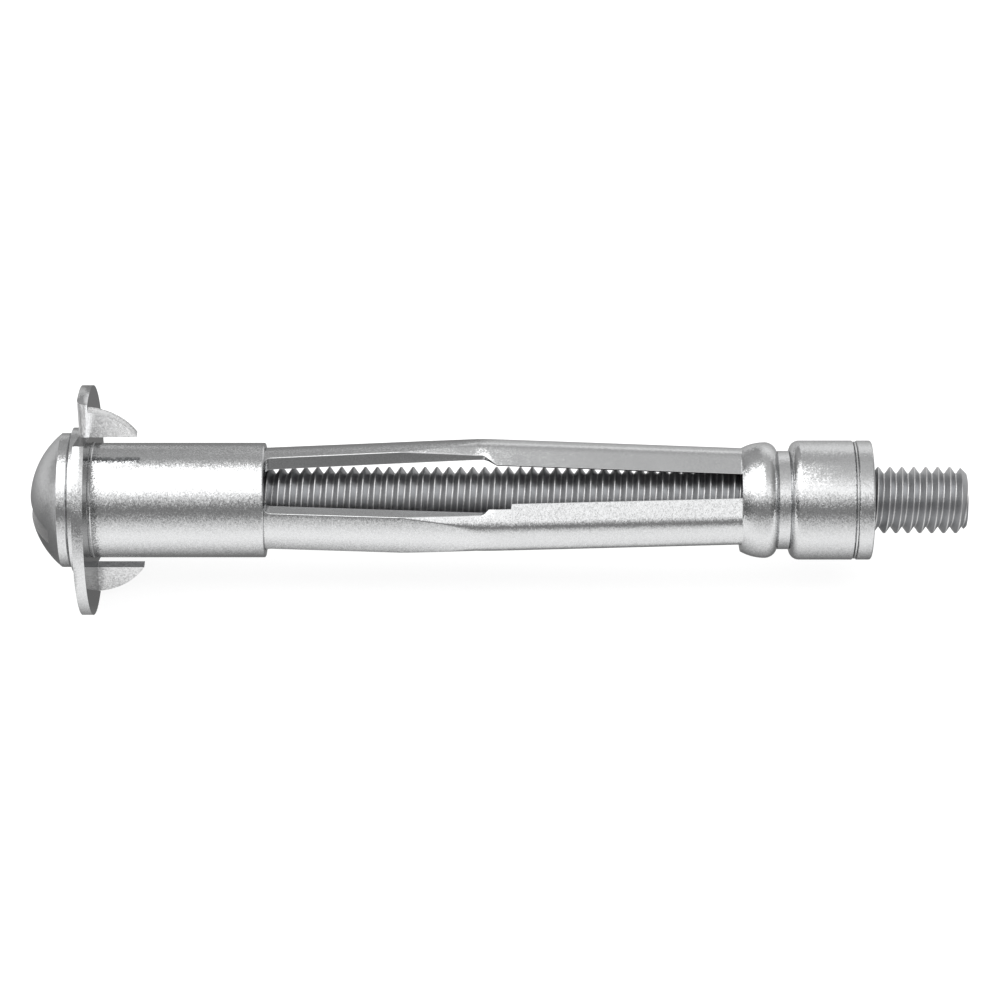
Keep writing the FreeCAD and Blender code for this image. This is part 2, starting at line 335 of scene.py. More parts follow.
def extrude_outline(name: str, outline: list[Point], axis: int, start: float, depth: float) -> Piece:
    """Draw a closed flat outline and extrude it into a block.

    Args:
        name: Name of the new object.
        outline: The other two coordinates of its corners, in millimetres.
        axis: The axis that the block lies along: 0, 1 or 2.
        start: Where it starts on that axis.
        depth: How far it reaches from there.

    Returns:
        The block, with its faces outwards.
    """
    block = draw_line(name, [Vector((*corner[:axis], start, *corner[axis:])) for corner in outline], True)
    edit(block)
    bpy.ops.mesh.edge_face_add()
    way = [depth * MM if number == axis else 0.0 for number in range(3)]
    bpy.ops.mesh.extrude_region_move(TRANSFORM_OT_translate={"value": way})
    leave_edit()
    face_outwards(block)
    return block


def turn_about_axis(piece: Piece, degrees: float) -> None:
    """Turn a piece that was made at the top to an angle about the axis, counted from -Y through +Z."""
    piece.data.transform(Matrix.Rotation(math.radians(TOP_ANGLE - degrees), 4, "X"))


def copy_of(piece: Piece) -> Piece:
    """A copy of a piece with a mesh of its own."""
    twin = piece.copy()
    twin.data = piece.data.copy()
    bpy.context.scene.collection.objects.link(twin)
    return twin


def give_metals(piece: Piece, *metals: Metal) -> None:
    """Give a piece its finishes.

    Args:
        piece: The object.
        metals: The finishes, in the order of the slots that its faces use.
    """
    piece.data.materials.clear()
    for metal in metals:
        piece.data.materials.append(metal)


def mark(piece: Piece, pick: Callable[[bpy.types.MeshPolygon], Enum]) -> None:
    """Give each of a piece's faces the slot that a function picks for it."""
    for face in piece.data.polygons:
        face.material_index = pick(face).value


def ramp(value: float, start: float, end: float) -> float:
    """0 before start, 1 after end, and straight between them."""
    return min(max((value - start) / (end - start), 0.0), 1.0)


def arc_down(radius: float, last: float, steps: int = 5) -> list[Vector]:
    """Points of an arc from beside its top down to an angle.

    Args:
        radius: The arc's radius.
        last: The angle from the top, in radians.
        steps: How many points.

    Returns:
        The points, without the last angle's own.
    """
    angles = [last * (step + 0.5) / steps for step in range(steps)]
    return [Vector((radius * math.sin(angle), radius * math.cos(angle))) for angle in angles]


def curve(start: Vector, corner: Vector, end: Vector, steps: int) -> list[Vector]:
    """Points of a smooth bend from start to end that heads for a corner.

    Args:
        start: Where the bend starts.
        corner: Where the two sides would meet.
        end: Where it ends.
        steps: How many stretches it has.

    Returns:
        The points, with both ends.
    """
    shares = [step / steps for step in range(steps + 1)]
    return [start.lerp(corner, share).lerp(corner.lerp(end, share), share) for share in shares]


def soften(before: Vector, corner: Vector, after: Vector, reach: float) -> list[Vector]:
    """Round a corner.

    Args:
        before: The point before the corner.
        corner: The corner.
        after: The point after it.
        reach: How far from the corner the round starts.

    Returns:
        The points of the round.
    """
    back, on = before - corner, after - corner
    start = corner + back * min(reach / back.length, LONGEST_ROUND)
    end = corner + on * min(reach / on.length, LONGEST_ROUND)
    return curve(start, corner, end, CORNER_STEPS)


def feed(tree: Tree, node: bpy.types.Node, inputs: dict[str | int, object]) -> None:
    """Set or link a node's inputs.

    Args:
        tree: The tree that holds the node.
        node: The node.
        inputs: A constant or another node's output, by input name or number.
    """
    for key, value in inputs.items():
        if isinstance(value, Socket):
            tree.links.new(value, node.inputs[key])
        else:
            node.inputs[key].default_value = value


def add_node(
    tree: Tree, kind: str, inputs: dict[str | int, object] | None = None, **settings: object
) -> Outputs:
    """Add a node to a tree.

    Args:
        tree: The tree.
        kind: The node's type, without the "ShaderNode" before it.
        inputs: A constant or another node's output, by input name or number.
        settings: The node's own settings.

    Returns:
        The node's outputs.
    """
    node = tree.nodes.new(f"ShaderNode{kind}")
    for key, value in settings.items():
        setattr(node, key, value)
    feed(tree, node, inputs or {})
    return node.outputs


def calc(tree: Tree, operation: str, *values: object, kind: str = "Math") -> Socket:
    """Add a sum to a tree.

    Args:
        tree: The tree.
        operation: Blender's name of the sum.
        values: Constants and other nodes' outputs.
        kind: Math for numbers, VectorMath for vectors.

    Returns:
        The result.
    """
    return add_node(tree, kind, dict(enumerate(values)), operation=operation)[0]


def remap(tree: Tree, value: Socket, span: Point, levels: Point = (0.0, 1.0), **settings: object) -> Socket:
    """Add a node that spreads a span of values over levels, and keeps to their ends outside it.

    Args:
        tree: The tree.
        value: The value.
        span: Start and end of the span.
        levels: What comes out at its start and its end.
        settings: The node's own settings.

    Returns:
        The level.
    """
    ends = dict(zip(("From Min", "From Max", "To Min", "To Max"), (*span, *levels)))
    return add_node(tree, "MapRange", {"Value": value, **ends}, **settings)[0]


@dataclass(frozen=True)
class Finish:
    """A metal surface: its colour and gloss, and the fine speckle of its plating."""

    name: str
    colour: Point3
    roughness: float
    grain_size: float
    grain_tilt: float
    cloud_depth: float
    # A colour for the reflection at grazing angles: below 1 it darkens the faces towards their silhouettes,
    # painted shade.
    edge_tint: float = 1.0

    def material(self, groups: "EffectGroups") -> Metal:
        """Build the finish's material.

        Args:
            groups: The shared node groups.

        Returns:
            The material.
        """
        material = bpy.data.materials.new(self.name)
        material.use_nodes = True
        tree = material.node_tree
        sockets = {"Size": self.grain_size * MM, "Tilt": self.grain_tilt}
        grain = add_node(tree, "Group", sockets, node_tree=groups.grain)
        sockets = {"Base": (*self.colour, 1.0), "Roughness": self.roughness, "Depth": self.cloud_depth}
        clouds = add_node(tree, "Group", {**sockets, "Grain": grain["Mask"]}, node_tree=groups.clouds)
        shader = {
            "Metallic": 1.0,
            "Specular Tint": (self.edge_tint,) * 3 + (1.0,),
            "Normal": grain["Normal"],
            "Base Color": clouds["Colour"],
            "Roughness": clouds["Roughness"],
        }
        feed(tree, tree.nodes["Principled BSDF"], shader)
        return material


class EffectGroups:
    """The node groups that the finishes share, each one built once."""

    lean_share: Point3 = (0.4, 1.0, 1.0)
    cloud_scale: float = 700.0
    cloud_detail: float = 3.0
    cloud_span: Point = (0.3, 0.7)
    grain_contrast: float = 0.1

    def __init__(self) -> None:
        """Build the groups."""
        self.grain = self.build_grain()
        self.clouds = self.build_clouds()

    @staticmethod
    def new_group(name: str, inputs: dict[str, str], outputs: dict[str, str]) -> tuple[Tree, Outputs]:
        """An empty shader group with named sockets.

        Args:
            name: Name of the group.
            inputs: Kind of socket by input name.
            outputs: Kind of socket by output name.

        Returns:
            The group, and what comes in.
        """
        group = bpy.data.node_groups.new(name, "ShaderNodeTree")
        for direction, sockets in (("INPUT", inputs), ("OUTPUT", outputs)):
            for socket, kind in sockets.items():
                group.interface.new_socket(name=socket, in_out=direction, socket_type=f"NodeSocket{kind}")
        group.nodes.new("NodeGroupOutput")
        return group, group.nodes.new("NodeGroupInput").outputs

    def build_grain(self) -> Tree:
        """The speckle of plated metal: grains that lean mostly across the axis, and a mask of them.

        Returns:
            The group.
        """
        outputs = {"Normal": "Vector", "Mask": "Float"}
        group, entry = self.new_group("plating_grain", {"Size": "Float", "Tilt": "Float"}, outputs)
        place = add_node(group, "TexCoord")
        scale = calc(group, "DIVIDE", 1.0, entry["Size"])
        cells = add_node(group, "TexVoronoi", {"Vector": place["Object"], "Scale": scale}, feature="F1")
        colour = cells["Color"]
        centred = calc(group, "SUBTRACT", colour, (0.5,) * 3, kind="VectorMath")
        across = calc(group, "MULTIPLY", centred, self.lean_share, kind="VectorMath")
        lean = add_node(group, "VectorMath", {0: across, "Scale": entry["Tilt"]}, operation="SCALE")[0]
        surface = add_node(group, "NewGeometry")["Normal"]
        leaned = calc(group, "ADD", surface, lean, kind="VectorMath")
        unit = calc(group, "NORMALIZE", leaned, kind="VectorMath")
        mask = add_node(group, "SeparateXYZ", {0: colour})["X"]
        feed(group, group.nodes["Group Output"], {"Normal": unit, "Mask": mask})
        return group

    def build_clouds(self) -> Tree:
        """Soft variation of colour and gloss over a surface.

        Returns:
            The group.
        """
        group, entry = self.new_group(
            "satin_clouds",
            {"Base": "Color", "Roughness": "Float", "Depth": "Float", "Grain": "Float"},
            {"Colour": "Color", "Roughness": "Float"},
        )
        place = add_node(group, "TexCoord")
        pattern = {"Vector": place["Object"], "Scale": self.cloud_scale, "Detail": self.cloud_detail}
        noise = add_node(group, "TexNoise", pattern)["Fac"]
        sway = remap(group, noise, self.cloud_span, (-1.0, 1.0))
        gloss = calc(group, "ADD", entry["Roughness"], calc(group, "MULTIPLY", sway, entry["Depth"]))
        contrast = self.grain_contrast
        level = calc(group, "MULTIPLY_ADD", entry["Grain"], contrast, 1.0 - contrast / 2)
        tone = add_node(group, "VectorMath", {0: entry["Base"], "Scale": level}, operation="SCALE")[0]
        feed(group, group.nodes["Group Output"], {"Roughness": gloss, "Colour": tone})
        return group


@dataclass
class MachineScrew:
    """Round-headed machine screw with a driver slot and a rolled thread along its whole shank."""

    apex: float = -3.69
    rim_front: float = -1.82
    head_back: float = -1.26
    tip: float = 51.05
    head_radius: float = 3.925
    crest_radius: float = 1.95
    root_radius: float = 1.56
    pitch: float = 0.698
    crest_at: float = 45.828
    crest_flat: float = 0.06
    root_flat: float = 0.07
    flat_bevel: float = 0.02
    tip_bevel: float = 0.4
    slot_angle: float = 9.4
    slot_reach: float = 3.38
    slot_foot: float = 1.6
    slot_width: float = 1.37
    slot_end_width: float = 0.96
    slot_depth: float = 2.1
    slot_end: float = 1.3
    slot_round: float = 0.07
    slot_sharp: float = 50.0
    overcut: float = 1.0
    rim_chamfer: float = 0.06
    dome_steps: int = 22
    head_sides: int = 128
    thread_sides: int = 48
    envelope_sides: int = 96
    # Turns of the thread before the head's back and past the tip, and how deep its start lies in the head
    lead_turns: float = 1.5
    spare_turns: int = 2
    rooted: float = 0.3
    tip_clearance: float = 0.02
    past_tip: float = 0.1
    # Sideways faces of the head are its rim, and those of the thread its lines: how far they may lean.
    rim_lean: float = 0.3
    line_lean: float = 0.5
    sharp: float = 28.0

    def build(self, *metals: Metal) -> Piece:
        """Model the whole screw.

        Args:
            metals: Its finishes, in the order of ScrewFace.

        Returns:
            The screw.
        """
        screw, blade, thread = self.head(), self.slot_blade(), self.thread()
        for piece in (screw, blade, thread):
            give_metals(piece, *metals)
        mark(blade, lambda face: ScrewFace.LINE)
        # The head's faces take painted light and the thread's flanks painted shade, by the way they turn.
        mark(screw, lambda face: ScrewFace.RIM if abs(face.normal.x) < self.rim_lean else ScrewFace.HEAD)
        mark(thread, lambda face: ScrewFace.LINE if abs(face.normal.x) < self.line_lean else ScrewFace.FLANK)
        self.cut_slot(screw, blade)
        cut_with(screw, thread, "UNION")
        face_outwards(screw)
        smooth(screw, self.sharp)
        screw.name = "threaded_screw"
        return screw

    def head(self) -> Piece:
        """The domed head with its short rim and chamfered back, solid to the axis."""
        dome = crown_radius(self.head_radius, self.rim_front - self.apex)
        rim, chamfer = (self.rim_front, self.head_radius), self.rim_chamfer
        outline = arc_points((self.apex, 0.0), rim, dome, -1, self.dome_steps)
        outline += [
            rim,
            (self.head_back - chamfer, self.head_radius),
            (self.head_back, self.head_radius - chamfer),
            (self.head_back, 0.0),
        ]
        return spin_outline("screw_head", outline, self.head_sides, False)

    def slot_blade(self) -> Piece:
        """The blade that cuts the slot: widest at the axis, with a floor that rises towards both ends."""
        half = [
            (self.apex - self.overcut, self.slot_reach),
            (self.apex + self.slot_end, self.slot_reach),
            (self.apex + self.slot_depth, self.slot_foot),
        ]
        corners = half + [(place, -radius) for place, radius in reversed(half)]
        blade = extrude_outline("slot_blade", corners, 1, -self.slot_width / 2, self.slot_width)
        edit(blade)
        bpy.ops.mesh.bisect(plane_co=(0, 0, 0), plane_no=(0, 0, 1), threshold=MERGE)
        for radius in (self.slot_foot, self.slot_reach):
            pick_vertices(blade, lambda at: abs(abs(at.z) - radius * MM) < NEAR)
            share = radius / self.slot_reach * (1 - self.slot_end_width / self.slot_width)
            bpy.ops.transform.resize(value=(1, 1 - share, 1))
        leave_edit()
        return blade

    def cut_slot(self, head: Piece, blade: Piece) -> None:
        """Cut the driver slot, and soften its rim.

        Args:
            head: The screw's head.
            blade: The slot's blade, as it lies at the top.
        """
        turn_about_axis(blade, self.slot_angle)
        cut_with(head, blade, "DIFFERENCE")
        join_flats(head, 4 * SLIVER)
        round_edges(head, self.slot_round, self.slot_sharp, material=ScrewFace.LINE.value)

    def thread(self) -> Piece:
        """The thread: one tooth's outline, wound about the axis and trimmed to the shank's length."""
        half, root, crest = self.pitch / 2, self.root_flat / 2, self.crest_flat / 2
        lead = math.ceil((self.crest_at - self.head_back) / self.pitch + self.lead_turns)
        start = self.crest_at - lead * self.pitch
        fall = [
            (crest, self.crest_radius),
            (crest + self.flat_bevel, self.crest_radius - self.flat_bevel),
            (half - root, self.root_radius + root / 4),
            (half, self.root_radius),
        ]
        tooth = [(-place, radius) for place, radius in reversed(fall)] + fall
        line = draw_line("thread", [Vector((start + place, 0, radius)) for place, radius in tooth], False)
        apply_modifier(
            line,
            "SCREW",
            axis="X",
            angle=-FULL_TURN,
            screw_offset=self.pitch * MM,
            iterations=math.ceil((self.tip - start) / self.pitch) + self.spare_turns,
            steps=self.thread_sides,
            render_steps=self.thread_sides,
            use_merge_vertices=False,
        )
        face_outwards(line)
        trim(line, (self.head_back - self.rooted, 0, 0), (-1, 0, 0))
        trim(line, (self.tip, 0, 0), (1, 0, 0))
        front, end = self.head_back - 2 * self.rooted, self.tip + self.past_tip
        radius = self.crest_radius + self.tip_clearance
        outline = [
            (front, 0.0),
            (front, self.crest_radius + self.rooted),
            (self.tip - self.tip_bevel, radius),
            (self.tip, radius - self.tip_bevel),
            (end, self.crest_radius - self.past_tip - self.tip_bevel),
            (end, 0.0),
        ]
        envelope = spin_outline("thread_envelope", outline, self.envelope_sides, False)
        cut_with(line, envelope, "INTERSECT")
        return line


@dataclass(frozen=True)
class LegSection:
    """Half of a leg's section: its ridge is an arc about the axis, and a facet falls from its crease."""

    sheet: float
    radius: float
    width: float
    crease: float
    facet: float

    @property
    def height(self) -> float:
        """Height of the crease above the axis."""
        return math.sqrt(self.radius**2 - self.crease**2)

    @property
    def at_crease(self) -> float:
        """Angle of the crease from the top."""
        return math.asin(self.crease / self.radius)

    @property
    def out(self) -> Vector:
        """Direction of the facet, away from the crease."""
        return Vector((math.cos(self.facet), -math.sin(self.facet)))

    def edge(self) -> Vector:
        """Where the outside ends."""
        return Vector((self.width, self.height - math.tan(self.facet) * (self.width - self.crease)))

    def inner_crease(self) -> Vector:
        """Where the inside turns from the valley to the facet."""
        bisector = (self.facet + self.at_crease) / 2
        reach = self.sheet / math.cos((self.facet - self.at_crease) / 2)
        return Vector((self.crease - reach * math.sin(bisector), self.height - reach * math.cos(bisector)))

    def inner_edge(self, bevel: float, share: float) -> Vector:
        """Where the inside ends: straight below the edge, or drawn back from it by a bevel.

        Args:
            bevel: The bevel's angle in degrees.
            share: How much of the bevel there is, from 0 to 1.

        Returns:
            The place.
        """
        straight = Vector((self.width, math.sqrt((self.radius - self.sheet) ** 2 - self.width**2)))
        down = Vector((math.sin(self.facet), math.cos(self.facet)))
        back_off = self.sheet * math.tan(math.radians(bevel))
        return straight.lerp(self.edge() - self.sheet * down - back_off * self.out, share)

    def ridge(self, spread: float) -> list[Vector]:
        """Points from beside the ridge down over the rounded crease.

        Args:
            spread: How far from the crease its round starts.

        Returns:
            The points, the last one on the facet.
        """
        crease, out = Vector((self.crease, self.height)), self.out
        spread = min(spread, LONGEST_ROUND * (self.edge() - crease).length)
        start = self.at_crease - spread / self.radius
        onset = Vector((self.radius * math.sin(start), self.radius * math.cos(start)))
        tangent = Vector((math.cos(start), -math.sin(start)))
        gap, turn = crease - onset, math.sin(self.facet - start)
        ahead = (gap.x * -out.y + gap.y * out.x) / turn if turn > STRAIGHT else gap.length
        bend = curve(onset, onset + tangent * ahead, crease + out * spread, CREASE_STEPS)
        return [*arc_down(self.radius, start), *bend]


@dataclass
class SheetSleeve:
    """The expansion sleeve: flange, plain tube, three folded legs, and the rounded mouth, neck and collar."""

    sheet: float = 0.62
    flange_front: float = -1.26
    flange_back: float = -0.64
    flange_radius: float = 4.25
    flange_bevel: float = 0.12
    flange_bevel_rise: float = 0.32
    tube_radius: float = 3.357
    tube_end: float = 10.08
    tube_round: float = 0.1
    leg_count: int = 3
    leg_angle: float = 7.85
    leg_length: float = 27.76
    leg_root_step: float = 0.287
    leg_root_round: float = 0.38
    leg_fold_rise: float = 0.53
    leg_mouth_rise: float = 0.03
    leg_fold: float = 12.72
    leg_fold_round: float = 0.02
    leg_half_width: float = 1.37
    leg_wide: float = 1.82
    leg_notch_width: float = 1.617
    leg_crease: float = 0.88
    plain_crease: float = 1.233
    facet_start: float = 7.82
    facet_tip: float = 8.02
    facet_full: float = 12.32
    facet_slope: float = 47.7
    edge_bevel: float = 27.5
    widening_start: float = 12.71
    widening_end: float = 13.52
    notch_start: float = 13.06
    notch_end: float = 14.35
    step_run: float = 0.03
    joggle: float = 0.5
    edge_round: float = 0.05
    crease_round: float = 0.36
    crease_sharp: float = 0.06
    crease_opens: float = 10.6
    groove: float = 0.05
    bead_end: float = 0.11
    bead_rise: float = 0.05
    mouth_radius: float = 3.02
    leg_overlap: float = 0.46
    bulge_run: float = 1.41
    bulge_radius: float = 3.39
    bulge_fall: float = 0.7
    bulge_fold: float = 0.2
    neck_width: float = 0.73
    neck_radius: float = 2.88
    collar_radius: float = 3.49
    collar_round: float = 0.58
    collar_length: float = 3.71
    # How far the normal of a leg's cut face leans off the sheet's
    cut_lean: float = 0.8
    sides: int = 144
    tube_steps: int = 5
    bulge_steps: int = 10
    collar_steps: int = 8
    # Where a leg has sections: shares of the round at its root, runs, steps up the facet and at the fold
    root_shares: tuple[float, ...] = (0.0, 0.1, 0.25, 0.45, 0.7, 1.0)
    plain_runs: Point3 = (3.0, 19.0, 23.5)
    facet_steps: int = 9
    fold_steps: tuple[float, ...] = (-0.15, -0.05, 0.05, 0.15)

    def build(self, plated: Metal, cut: Metal) -> Piece:
        """Model the whole sleeve as one shell.

        Args:
            plated: Finish of the sheet's own faces.
            cut: Finish of its cut edges.

        Returns:
            The sleeve.
        """
        sleeve = self.tube()
        leg = self.leg()
        for piece in (sleeve, leg):
            give_metals(piece, plated, cut)
        mark(leg, self.surface_of)
        for index in range(self.leg_count):
            twin = copy_of(leg)
            turn_about_axis(twin, self.leg_angle + index * 360.0 / self.leg_count)
            cut_with(sleeve, twin, "UNION")
        bpy.data.objects.remove(leg, do_unlink=True)
        tail = self.tail()
        give_metals(tail, plated, cut)
        cut_with(sleeve, tail, "UNION")
        face_outwards(sleeve, SLIVER)
        smooth(sleeve)
        sleeve.name = "formed_sleeve"
        return sleeve

    def surface_of(self, face: bpy.types.MeshPolygon) -> Surface:
        """Which way a face of a leg at the top was made: cut where it lies across the sheet."""
        across = abs(face.normal.y) > self.cut_lean or face.normal.z < -self.cut_lean
        return Surface.CUT if across else Surface.PLATED

    def tube(self) -> Piece:
        """The flange and the plain tube, with a rounded end."""
        inner, turn = self.tube_radius - self.sheet, self.tube_round
        bead, corner = self.tube_radius + self.bead_rise, (self.tube_end, self.tube_radius - turn)
        outline = [
            (self.flange_front, inner),
            (self.flange_front, self.flange_radius - self.flange_bevel_rise),
            (self.flange_front + self.flange_bevel, self.flange_radius),
            (self.flange_back, self.flange_radius),
            (self.flange_back, self.tube_radius),
            (0.0, self.tube_radius),
            (0.0, bead),
            (self.bead_end / 2, bead),
            (self.bead_end, self.tube_radius),
        ]
        outline += arc_points((self.tube_end - turn, self.tube_radius), corner, turn, -1, self.tube_steps)
        outline += [corner, (self.tube_end, inner)]
        return spin_outline("sleeve_tube", outline, self.sides, True)

    def tail(self) -> Piece:
        """The open mouth, the bulge, the neck and the collar."""
        mouth = self.tube_end + self.leg_length
        bulge = mouth + self.bulge_run
        neck = bulge + self.bulge_fall
        neck_end = neck + self.neck_width
        collar_end = neck_end + self.collar_length
        front_arc = crown_radius(self.bulge_run, self.bulge_radius - self.mouth_radius)
        back_arc = crown_radius(self.bulge_fall, self.bulge_radius - self.neck_radius)
        corner, inner_neck = self.collar_round, self.neck_radius - self.sheet
        groove, inner_collar = self.neck_radius - self.groove, self.collar_radius - self.sheet
        mouth_edge, top = (mouth, self.mouth_radius), (bulge, self.bulge_radius)
        inner_mouth, inner_top = ((place, radius - self.sheet) for place, radius in (mouth_edge, top))
        outline = [inner_mouth, *arc_points(mouth_edge, top, front_arc, -1, self.bulge_steps)]
        outline += arc_points(top, (neck, self.neck_radius), back_arc, -1, self.bulge_steps)
        outline += [
            (neck, groove),
            (neck + self.groove, self.neck_radius),
            (neck_end - self.groove, self.neck_radius),
            (neck_end, groove),
        ]
        start, shoulder = (neck_end, self.collar_radius - corner), (neck_end + corner, self.collar_radius)
        outline += arc_points(start, shoulder, corner, -1, self.collar_steps)
        outline += [
            shoulder,
            (collar_end - self.edge_round, self.collar_radius),
            (collar_end, self.collar_radius - self.edge_round),
            (collar_end, inner_collar),
            (neck_end + self.sheet, inner_collar),
            (neck_end + self.sheet, inner_neck),
            (bulge + self.bulge_fold, inner_neck),
        ]
        outline += arc_points(inner_top, inner_mouth, front_arc, 1, self.collar_steps)
        return spin_outline("sleeve_tail", outline, self.sides, True)

    def crest(self, run: float) -> float:
        """Radius of a leg's ridge at a run from the tube's end."""
        root = self.tube_radius - self.leg_root_step
        fold = root + self.leg_fold_rise
        mouth = self.mouth_radius + self.leg_mouth_rise
        front = root + (fold - root) * run / self.leg_fold
        back = mouth + (fold - mouth) * (self.leg_length - run) / (self.leg_length - self.leg_fold)
        return (front + back) / 2 - math.hypot((front - back) / 2, self.leg_fold_round)

    def flare(self, run: float) -> float:
        """Extra half width where a leg's edge rounds into the tube's end."""
        short = self.leg_root_round - min(max(run, 0.0), self.leg_root_round)
        return self.leg_root_round - math.sqrt(self.leg_root_round**2 - short**2)

    def half_width(self, run: float, side: int) -> float:
        """Half width of a leg on one side.

        Args:
            run: Distance from the tube's end.
            side: -1 where it widens along a slant, 1 where it widens in two steps.

        Returns:
            The half width.
        """
        base = self.leg_half_width + self.flare(run)
        if side < 0:
            share = ramp(run, self.widening_start, self.widening_end)
            return base + share * (self.leg_wide - self.leg_half_width)
        share = ramp(run, self.widening_start, self.notch_start)
        step = ramp(run, self.notch_end, self.notch_end + self.step_run)
        base += share * (self.leg_notch_width - self.leg_half_width)
        return base + step * (self.leg_wide - self.leg_notch_width)

    def section(self, run: float, side: int) -> LegSection:
        """Shape of half of a leg's section: round near the tube, and with a fold behind it.

        Args:
            run: Distance from the tube's end.
            side: Which half, -1 or 1.

        Returns:
            The half's shape.
        """
        fade = ramp(run, self.facet_start, self.facet_full)
        radius, width = self.crest(run), self.half_width(run, side)
        if fade > 0:
            crease = self.leg_half_width - fade * (self.leg_half_width - self.leg_crease)
            return LegSection(self.sheet, radius, width, crease, math.radians(self.facet_slope))
        crease = self.plain_crease
        drop = math.sqrt(radius**2 - crease**2) - math.sqrt(radius**2 - width**2)
        return LegSection(self.sheet, radius, width, crease, math.atan(drop / (width - crease)))

    def half_outline(self, run: float, side: int) -> list[Vector]:
        """Rounded half of a leg's section, from the ridge down the outside and back up the inside.

        Args:
            run: Distance from the tube's end.
            side: Which half, -1 or 1.

        Returns:
            Its points, in millimetres, without the ridge's and the valley's own.
        """
        half = self.section(run, side)
        opened = ramp(run, self.crease_opens, self.facet_full)
        widened = ramp(run, self.widening_start, self.widening_end)
        inner_edge, inner_crease = half.inner_edge(self.edge_bevel, widened), half.inner_crease()
        inner_radius = half.radius - self.sheet
        outline = half.ridge(self.crease_sharp + opened * (self.crease_round - self.crease_sharp))
        outline += soften(outline[-1], half.edge(), inner_edge, self.edge_round)
        outline += soften(half.edge(), inner_edge, inner_crease, self.edge_round)
        outline += [inner_crease, *reversed(arc_down(inner_radius, math.asin(inner_crease.x / inner_radius)))]
        return [Vector((self.tube_end + run, side * point.x, point.y)) for point in outline]

    def stations(self) -> list[float]:
        """Where a leg's sections lie, as runs from the tube's end."""
        runs = [-self.joggle, *self.plain_runs, self.facet_start, self.facet_tip]
        runs += [self.leg_root_round * share for share in self.root_shares]
        span, steps = self.facet_full - self.facet_start, self.facet_steps
        runs += [self.facet_start + span * step / steps for step in range(1, steps + 1)]
        runs += [self.leg_fold + step for step in self.fold_steps]
        runs += [self.notch_start, self.widening_end, self.notch_end, self.notch_end + self.step_run]
        runs += [self.leg_length, self.leg_length + self.leg_overlap]
        return sorted(runs)

    def leg(self) -> Piece:
        """One leg at the top: its sections, bridged one to the next and closed at both ends."""
        loops = []
        for run in self.stations():
            near, far = self.half_outline(run, -1), self.half_outline(run, 1)
            loops.append(draw_line("leg_section", [*far, *reversed(near)], True))
        leg = select_only(*loops)
        bpy.ops.object.join()
        runs = self.stations()
        for before, after in zip(runs, runs[1:]):
            self.pick_sections(leg, before, after)
            bpy.ops.mesh.bridge_edge_loops()
        for run in (runs[0], runs[-1]):
            self.pick_sections(leg, run)
            bpy.ops.mesh.edge_face_add()
        leave_edit()
        face_outwards(leg)
        leg.name = "sleeve_leg"
        return leg

    def pick_sections(self, leg: Piece, *runs: float) -> None:
        """Select some of a leg's sections in edit mode.

        Args:
            leg: The leg.
            runs: Where the sections lie, from the tube's end.
        """
        places = [(self.tube_end + run) * MM for run in runs]
        pick_vertices(leg, lambda at: min(abs(at.x - place) for place in places) < NEAR)


